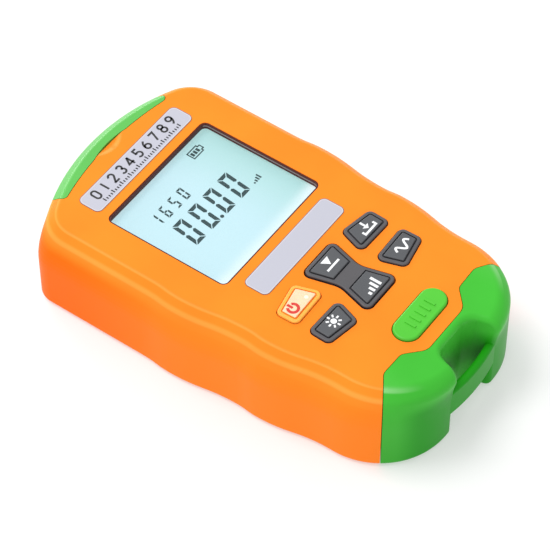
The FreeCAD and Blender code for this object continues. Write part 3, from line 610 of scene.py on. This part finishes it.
class Ground:
    """A face that carries print, with the ink and the body of each piece printed on it; the slot is kept but
    not used.
    """

    def __init__(self, node, ink_material, body, slot):
        low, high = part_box(node)
        self.middle = (low + high) / 2
        self.top = high.z
        self.ink = ink_material
        self.body = body
        self.slot = slot

    def point(self, x, y, above):
        """Point so many millimetres from the middle of the face and so far above it."""
        return self.middle.x + x * MM, self.middle.y + y * MM, self.top + above

    def add(self, name, mesh):
        """A finished piece on the body that carries the face."""
        piece = bpy.data.objects.new(name, mesh)
        bpy.context.scene.collection.objects.link(piece)
        mesh.materials.clear()
        mesh.materials.append(self.ink)
        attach(piece, self.body)
        return piece

    def print(self, name, outlines):
        """Thin print whose underside is sunk in the face, from outlines in millimetres."""
        mesh = bpy.data.meshes.new(name)
        shape = bmesh.new()
        for outline in outlines:
            shape.faces.new([shape.verts.new(self.point(x, y, FILM)) for x, y in outline])
        bmesh.ops.remove_doubles(shape, verts=shape.verts, dist=SAME_POINT)
        for face in shape.faces:
            face.normal_update()
            if face.normal.z < 0:
                face.normal_flip()
        shape.to_mesh(mesh)
        shape.free()
        film = self.add(name, mesh).modifiers.new("film", "SOLIDIFY")
        film.thickness = FILM + SUNK
        film.offset = -1

    def grow(self, name, tree, values):
        """The plain mesh that a tree makes from its input values, as a finished piece."""
        carrier = bpy.data.objects.new(name + "_carrier", bpy.data.meshes.new(name + "_carrier"))
        bpy.context.scene.collection.objects.link(carrier)
        modifier = carrier.modifiers.new(name, "NODES")
        modifier.node_group = tree
        inputs = [item for item in tree.interface.items_tree if item.in_out == "INPUT"]
        for item in inputs:
            modifier[item.identifier] = self.ink if item.name == "Material" else values[item.name]
        depsgraph = bpy.context.evaluated_depsgraph_get()
        mesh = bpy.data.meshes.new_from_object(carrier.evaluated_get(depsgraph))
        if not mesh.polygons:
            raise RuntimeError(f"{name} came out empty")
        mesh.name = name
        bpy.data.objects.remove(carrier)
        self.add(name, mesh)

    def row(self, name, row, x, y):
        """Printed bars side by side, from the foot of the first."""
        self.grow(name, bar_row_tree(), {
            "Count": row.count, "Start": self.point(x, y, (FILM - SUNK) / 2), "Pitch": (row.pitch * MM, 0, 0),
            "Bar": (row.width * MM, row.height * MM, FILM + SUNK), "Growth": row.growth, "Every": row.every,
            "Longer": row.longer})

    def rays(self, name, count, radius, width, length, x, y):
        """Printed bars that point outwards round a centre."""
        self.grow(name, ray_ring_tree(), {
            "Count": count, "Radius": radius * MM, "Centre": self.point(x, y, (FILM - SUNK) / 2),
            "Bar": (width * MM, length * MM, FILM + SUNK)})


class METER_OT_stage(bpy.types.Operator):
    """Lay a pale floor, set soft studio lights and stand the camera above the cap's left corner"""

    bl_idname = "meter.stage"
    bl_label = "Stage"

    def execute(self, context):
        scene = context.scene
        settings = scene.meter_stage
        scene.view_settings.view_transform = "Standard"
        self.floor(scene, settings)

        world = bpy.data.worlds.new("surround")
        world.use_nodes = True
        world.node_tree.nodes["Background"].inputs["Color"].default_value = (1, 1, 1, 1)
        world.node_tree.nodes["Background"].inputs["Strength"].default_value = settings.sky
        scene.world = world

        aim = Vector(settings.aim)
        self.light(scene, "key_light", KEY_LIGHT, aim, settings.key_power)
        self.light(scene, "strip_light", STRIP_LIGHT, aim, settings.strip_power)
        self.light(scene, "back_light", BACK_LIGHT, aim, settings.back_power)
        self.camera(scene, settings, aim)
        return {"FINISHED"}

    def floor(self, scene, settings):
        mesh = bpy.data.meshes.new("floor")
        corners = [(-1, -1), (1, -1), (1, 1), (-1, 1)]
        mesh.from_pydata([(x * FLOOR_HALF, y * FLOOR_HALF, 0) for x, y in corners], [], [(0, 1, 2, 3)])
        mesh.materials.append(moulded(
            "floor_paper", scene.meter_colours.floor, roughness=0.85, cell=0.8, depth=0.01, tone=0.01,
            Emission_Color=(1, 1, 1, 1), Emission_Strength=settings.table))
        floor = bpy.data.objects.new("floor", mesh)
        scene.collection.objects.link(floor)

    def light(self, scene, name, light, aim, power):
        data = bpy.data.lights.new(name, "AREA")
        data.shape = "RECTANGLE"
        data.size, data.size_y = light.area
        data.energy = power
        lamp = bpy.data.objects.new(name, data)
        lamp.location = light.place
        lamp.rotation_euler = (Vector(light.place) - aim).to_track_quat("Z", "Y").to_euler()
        scene.collection.objects.link(lamp)

    def camera(self, scene, settings, aim):
        level = math.cos(settings.elevation)
        back = Vector((math.sin(settings.azimuth) * level, -math.cos(settings.azimuth) * level,
                       math.sin(settings.elevation)))
        data = bpy.data.cameras.new("camera")
        data.lens = settings.lens
        data.sensor_width = SENSOR_WIDTH
        data.clip_start = NEAREST
        camera = bpy.data.objects.new("camera", data)
        camera.location = aim + back * settings.distance
        camera.rotation_euler = back.to_track_quat("Z", "Y").to_euler()
        scene.collection.objects.link(camera)
        scene.camera = camera


class METER_OT_case(bpy.types.Operator):
    """Give the case, back plate, battery door, end cap and port cover their moulded finish"""

    bl_idname = "meter.case"
    bl_label = "Case"

    def execute(self, context):
        colours = context.scene.meter_colours
        # The case gets painted highlights along its ridges and painted shade on its walls, deepest towards
        # the port.
        shell = moulded("shell_orange", colours.shell, ridge_highlight=(colours.shell_rub, CASE_HIGHLIGHTS),
                        walls=((colours.shell_wall, CASE_SHADE_HEIGHTS, None),
                               (colours.shell_end, CASE_SHADE_HEIGHTS, CASE_PORT_SHADE)), Specular_IOR_Level=0.07)
        # The cap gets painted highlights at its corners and painted shade on its walls, deepest on the bar
        # and end walls.
        cap = moulded("cap_green", colours.cap, roughness=0.34, ridge_highlight=(colours.cap_rub, CAP_HIGHLIGHTS),
                      walls=((colours.cap_wall, CAP_SHADE_HEIGHTS, None),
                             (colours.cap_end, CAP_END_SHADE_HEIGHTS, CAP_END_SHADE_PLACES)), Specular_IOR_Level=0.12)
        # The cover's paler green is a painted sheen.
        cover = moulded("cover_green", colours.cover, roughness=0.36, Specular_IOR_Level=0.5)
        oval = moulded("oval_green", colours.oval, cell=0.3, depth=0.01, Specular_IOR_Level=0.35)
        dress(shell, "housing_shell", "rear_cover", "battery_door")
        dress(cap, "end_cap")
        dress(cover, "port_cover")
        dress(oval, "press_key")
        return {"FINISHED"}


class METER_OT_inside(bpy.types.Operator):
    """Give the port, the cells, the board and the fasteners their finishes"""

    bl_idname = "meter.inside"
    bl_label = "Inside"

    def execute(self, context):
        colours = context.scene.meter_colours
        steel = metal("drawn_steel", colours.steel, roughness=0.32)
        brass = metal("turned_brass", colours.brass, roughness=0.28, stretch=TURNED)
        plated = metal("plated_port", colours.plating, roughness=0.2, stretch=TURNED)
        black = moulded("package_black", colours.package, roughness=0.55)
        clear = moulded("lamp_clear", colours.lamp, roughness=0.12, cell=0.5, depth=0.002, tone=0.02,
                        Coat_Weight=0.6)
        white = moulded("guide_white", colours.light_guide, roughness=0.3, cell=0.5, depth=0.004, tone=0.02)
        dress(steel, "board_screws", "case_screws", "port_cover_pin", "battery_contacts")
        dress(brass, "adapter_nut", "photodetector")
        dress(plated, "fibre_adapter")
        dress(black, "board_chips", "key_switches", "rocker_fulcrum", "lcd_connector")
        dress(clear, "lamp_led")
        dress(white, "lcd_backlight")
        dress(self.solder_mask(colours), "main_board")
        dress(self.cell_wrap(colours), "battery_cells")
        return {"FINISHED"}

    def solder_mask(self, colours):
        """Green mask with the copper lines below showing through as paler stripes."""
        finish = Finish("solder_mask", Coat_Weight=0.4)
        lines = finish.node("ShaderNodeTexBrick", {"offset": 0.3}, {
            "Vector": finish.place(), "Scale": COPPER_CELLS, "Mortar Size": COPPER_LINE,
            "Color1": (0, 0, 0, 1), "Color2": (0, 0, 0, 1), "Mortar": (1, 1, 1, 1)}, "Fac")
        finish.link("Base Color", finish.mix(lines, rgba(colours.board), rgba(colours.board_line)))
        finish.link("Roughness", 0.34 + 0.12 * finish.noise(0.6))
        finish.bump(lines, strength=0.4, depth=0.03)
        return finish.material

    def cell_wrap(self, colours):
        """Blue sleeve with a pale band, bare at both ends of the cell."""
        low, high = (corner.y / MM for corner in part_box("battery_cells"))
        finish = Finish("cell_wrap")
        along = finish.axis("Y")

        def between(start, end):
            return along.rise(start, start + SLEEVE_EDGE) * (1 - along.rise(end, end + SLEEVE_EDGE))

        sleeve = between(low + SLEEVE_END, high - SLEEVE_END - SLEEVE_EDGE)
        band = between(low + SLEEVE_BAND[0], low + SLEEVE_BAND[1])
        scuffs = finish.noise(1.2, detail=4)
        wrap = finish.mix(band, rgba(colours.sleeve), rgba(colours.sleeve_band))
        finish.link("Base Color", finish.mix(sleeve, rgba(colours.cell_end), wrap))
        finish.link("Metallic", 1 - sleeve)
        finish.link("Roughness", 0.26 + 0.16 * scuffs)
        finish.bump(scuffs, strength=0.15, depth=0.004)
        return finish.material


class METER_OT_display(bpy.types.Operator):
    """Light the display and draw its numbers, battery mark and level mark under a clear window"""

    bl_idname = "meter.display"
    bl_label = "Display"

    def execute(self, context):
        colours = context.scene.meter_colours
        sizes = context.scene.meter_sizes
        dress(self.lit_glass(colours), "lcd_glass")
        dress(self.clear_window(colours), "display_lens")
        dress(self.gasket(colours), "display_gasket")
        dark = ink("display_ink", colours.display_ink, roughness=0.5, Specular_IOR_Level=0.15)
        glass = Ground("lcd_glass", dark, "case", "display")

        reading = self.number(sizes, sizes.reading, 1.0, sizes.digit_bar, sizes.digit_pitch)
        glass.print("reading_digits", shifted(reading, *READING_START))
        band = self.number(sizes, sizes.band, sizes.small_share, sizes.small_bar, sizes.small_pitch)
        glass.print("band_digits", shifted(band, *BAND_START))
        self.battery(glass)
        glass.row("level_bars", LEVEL_BARS, *LEVEL_START)
        return {"FINISHED"}

    def number(self, sizes, text, share, line, pitch):
        """Outlines, in millimetres, of a number's bars and points from its lower left corner."""
        width, height = sizes.digit_width * share / MM, sizes.digit_height * share / MM
        line, pitch = line / MM, pitch / MM
        pen, outlines = 0, []
        for figure in text:
            if figure == ".":
                centre = (pen - (pitch - width) * POINT_BACK, line / 2)
                outlines.append(ring(line / 2, centre, corners=12))
                continue
            outlines += shifted(digit(figure, width, height, line, sizes.lean), pen, 0)
            pen += pitch
        return outlines

    def battery(self, glass):
        """Outline of a battery with its nub, and the bars inside it."""
        left, foot = BATTERY_LOW
        right, head = BATTERY_HIGH
        middle, tip = (foot + head) / 2, right + NUB_REACH
        nub = [(right, middle - NUB_HALF), (tip, middle - NUB_HALF), (tip, middle + NUB_HALF),
               (right, middle + NUB_HALF)]
        outline = [(left, foot), (right, foot), *nub, (right, head), (left, head)]
        glass.print("battery_mark", stroke(outline, BATTERY_LINE, True))
        glass.row("battery_bars", BATTERY_BARS, left + BATTERY_BARS_INSET[0], foot + BATTERY_BARS_INSET[1])

    def lit_glass(self, colours):
        """Backlit glass, brighter beside the lamps along its lower edge and in its lower corners."""
        low, high = (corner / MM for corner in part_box("lcd_glass"))
        finish = Finish("lit_glass", Emission_Strength=2.1)
        along, across = finish.axis("Y"), finish.axis("X")
        lamps = 1 - along.rise(*(low.y + reach for reach in LAMP_REACH))
        at_foot = 1 - along.rise(*(low.y + reach for reach in CORNER_REACH))
        corners = abs(across).rise(*(high.x - inset for inset in CORNER_INSET)) * at_foot
        glow = finish.noise(14, detail=1) * 0.2 + 0.75 * lamps + 0.4 * corners
        to_right = across.rise((low.x + high.x) / 2, high.x)
        sheet = finish.mix(to_right, rgba(colours.display), rgba(colours.display_right))
        tint = finish.mix(glow.rise(0.05, 1.0), sheet, rgba(colours.display_glow))
        finish.link("Base Color", finish.mix(0.5, tint, (0, 0, 0, 1)))
        finish.link("Emission Color", tint)
        finish.link("Roughness", 0.3 + 0.05 * finish.noise(0.5))
        return finish.material

    def gasket(self, colours):
        """Soft frame, its dark brown a painted shade of the recess wall, with a painted highlight along the
        side facing the light.
        """
        low, high = (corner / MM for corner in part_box("display_gasket"))
        finish = Finish("gasket_brown", Specular_IOR_Level=0.2)
        grain = finish.noise(0.25)
        share = (finish.axis("Z") - low.z) * (1 / (high.z - low.z))
        at_side = finish.axis("X").rise(*(high.x - inset for inset in SHEEN_INSET))
        sheen = (1 - abs(share - SHEEN_MIDDLE).rise(*SHEEN_EDGE)) * at_side
        base = finish.vary(grain, colours.gasket, 0.12)
        finish.link("Base Color", finish.mix(sheen, base, rgba(colours.gasket_bead)))
        finish.link("Roughness", 0.46 + 0.12 * grain)
        finish.bump(grain, strength=0.3, depth=0.01)
        return finish.material

    def clear_window(self, colours):
        """Clear moulded window: mostly see-through, with a polished skin."""
        finish = Finish("clear_window", Alpha=0.02, Coat_Weight=0.5, Coat_Roughness=0.04)
        wave = finish.noise(18, detail=1)
        finish.link("Base Color", finish.mix(wave, rgba(colours.window), rgba(colours.window_pale)))
        finish.link("Roughness", 0.05 + 0.04 * wave)
        return finish.material


class METER_OT_labels(bpy.types.Operator):
    """Finish the two film labels and print a plain numbered scale on the upper one"""

    bl_idname = "meter.labels"
    bl_label = "Labels"

    def execute(self, context):
        colours = context.scene.meter_colours
        sizes = context.scene.meter_sizes
        for node in ("title_label", "blank_label"):
            dress(self.film(node, colours), node)

        black = ink("label_ink", colours.label_ink, roughness=0.5)
        label = Ground("title_label", black, "case", "label_film")
        pitch, height, line = (sizes.scale_pitch / MM, sizes.number_height / MM, sizes.number_line / MM)
        start = -pitch * (sizes.scale_marks - 1) / 2
        ticks = Row(sizes.scale_marks, pitch, TICK_WIDTH, TICK_HEIGHT, every=NUMBER_EVERY,
                    longer=NUMBERED_LONGER)
        label.row("scale_ticks", ticks, start, SCALE_FOOT)
        level = SCALE_FOOT + TICK_HEIGHT * (1 + NUMBERED_LONGER) + NUMBER_GAP + height / 2
        for number in range(1 + (sizes.scale_marks - 1) // NUMBER_EVERY):
            centre = (start + number * NUMBER_EVERY * pitch, level)
            label.print(f"scale_number_{number}", numeral(str(number), height, line, centre))
        return {"FINISHED"}

    def film(self, node, colours):
        """Lilac-grey film with an unprinted margin, a thin painted shadow round its edge and a faint pressed
        grain.
        """
        low, high = (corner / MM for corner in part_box(node))
        finish = Finish(node + "_film")
        middle, reach = (low + high) / 2, (high - low) / 2
        past_x = (abs(finish.axis("X") - middle.x) - (reach.x - LABEL_CORNER)).at_least(0)
        past_y = (abs(finish.axis("Y") - middle.y) - (reach.y - LABEL_CORNER)).at_least(0)
        inset = LABEL_CORNER - (past_x * past_x + past_y * past_y) ** 0.5
        grain = finish.noise(0.25)
        sheet = finish.vary(grain, colours.label, 0.03)
        margin = finish.mix(inset.rise(*LABEL_SHADOW), rgba(colours.label_line), rgba(colours.label_edge))
        finish.link("Base Color", finish.mix(inset.rise(*LABEL_MARGIN), margin, sheet))
        finish.link("Roughness", 0.4 + 0.12 * grain)
        finish.bump(grain, strength=0.2, depth=0.006)
        return finish.material


class METER_OT_keys(bpy.types.Operator):
    """Finish the keys and print a plain mark on each"""

    bl_idname = "meter.keys"
    bl_label = "Keys"

    def execute(self, context):
        colours = context.scene.meter_colours
        line = context.scene.meter_sizes.key_line / MM
        white = ink("key_white", colours.key_ink, roughness=0.5)
        marks = {"memory_key": self.memory_mark, "wavelength_key": self.wave_mark, "lamp_key": self.lamp_mark,
                 "mode_key": self.mode_marks}
        for node, mark in marks.items():
            rubber = key_rubber(node + "_rubber", node, colours.key_pad, colours.key_rim, colours.key_groove)
            dress(rubber, node)
            mark(Ground(node, white, node, "key_grey"), line)

        pad, rim = colours.power_pad, colours.power_rim
        milky = key_rubber("power_milky", "power_key", pad, rim, rim, Subsurface_Weight=0.2,
                           Subsurface_Radius=[depth * MM for depth in MILKY_DEPTH])
        dress(milky, "power_key")
        self.power_marks(colours, line)
        return {"FINISHED"}

    def memory_mark(self, key, line):
        """Arrow going down into a tray."""
        half, drop, lip = 2.3, 1.75, 1.1
        head_half, head_top, head_tip = 1.15, 0.1, -1.05
        tray = stroke([(-half, lip - drop), (-half, -drop), (half, -drop), (half, lip - drop)], line)
        shaft = bar(-line / 2, head_top / 2, line, drop)
        head = [(-head_half, head_top), (0, head_tip), (head_half, head_top)]
        to_right = 0.6
        key.print("memory_mark", shifted([*tray, shaft, head], to_right, 0))

    def wave_mark(self, key, line):
        """One and a half turns of a wave."""
        length, height, turns, steps = 5.4, 1.15, 1.5, 36
        shares = [i / steps for i in range(steps + 1)]
        to_right = 0.8
        wave = [(to_right + (share - 0.5) * length, height * math.sin(share * turns * math.tau))
                for share in shares]
        key.print("wave_mark", stroke(wave, line))

    def lamp_mark(self, key, line):
        """Round lamp with rays."""
        x, y = 0.1, 0.5
        radius = 0.85
        ray_count, ray_radius, ray_width, ray_length = 8, 1.65, line * 0.8, 0.85
        key.print("lamp_mark", [ring(radius, (x, y))])
        key.rays("lamp_rays", ray_count, ray_radius, ray_width, ray_length, x, y)

    def mode_marks(self, key, line):
        """Pointer over a base line on one half of the rocker, rising bars on the other."""
        reach = 6.6
        half, top, tip = 1.5, 1.6, -0.75
        base_half, base_foot = 2.5, -1.75
        pointer = [(-half, top), (0, tip), (half, top)]
        base = bar(-base_half, base_foot, 2 * base_half, line)
        key.print("zero_mark", shifted([pointer, base], 0, reach))
        bars = Row(4, 1.4, 0.8, 1.0, growth=0.8)
        bars_foot = -1.7
        key.row("level_mark", bars, -bars.pitch * (bars.count - 1) / 2, bars_foot - reach)

    def power_marks(self, colours, line):
        """Broken ring with an upright, and the key's small lamp beside it."""
        red = ink("power_red", colours.power_ink)
        x, y = -2.467, -0.476
        radius, start, end, steps = 1.4, 125, 415, 28
        upright_width, upright_height, upright_foot = line * 1.2, 1.8, 0.1
        broken = stroke(arc(radius, start, end, steps, (x, y)), line * 1.3)
        upright = bar(x - upright_width / 2, y + upright_foot, upright_width, upright_height)
        Ground("power_key", red, "power_key", "power_amber").print("standby_mark", [*broken, upright])

        pearl = ink("pearl_white", colours.power_pearl, roughness=0.2, Coat_Weight=0.5)
        dot_radius, dot_centre = 0.55, (2.433, -1.076)
        dot = ring(dot_radius, dot_centre)
        Ground("power_key", pearl, "power_key", "power_amber").print("power_dot", [dot])


class METER_PT_panel(bpy.types.Panel):
    """Meter pieces and their settings"""

    bl_idname = "METER_PT_panel"
    bl_label = "Optical power meter"
    bl_space_type = "VIEW_3D"
    bl_region_type = "UI"
    bl_category = "Meter"

    def draw(self, context):
        for operator in OPERATORS:
            self.layout.operator(operator.bl_idname)
        for name, kind in GROUPS.items():
            box = self.layout.box()
            for setting in kind.__annotations__:
                box.prop(getattr(context.scene, name), setting)


GROUPS = {"meter_colours": MeterColours, "meter_sizes": MeterSizes, "meter_stage": MeterStage}
OPERATORS = (METER_OT_stage, METER_OT_case, METER_OT_inside, METER_OT_display, METER_OT_labels, METER_OT_keys)


def register():
    for kind in (*GROUPS.values(), *OPERATORS, METER_PT_panel):
        bpy.utils.register_class(kind)
    for name, kind in GROUPS.items():
        setattr(bpy.types.Scene, name, PointerProperty(type=kind))


def unregister():
    for name in GROUPS:
        delattr(bpy.types.Scene, name)
    for kind in (METER_PT_panel, *reversed(OPERATORS), *reversed(GROUPS.values())):
        bpy.utils.unregister_class(kind)


def main():
    register()
    bpy.ops.meter.stage()
    bpy.ops.meter.case()
    bpy.ops.meter.inside()
    bpy.ops.meter.display()
    bpy.ops.meter.labels()
    bpy.ops.meter.keys()


if __name__ == "__main__":
    main()
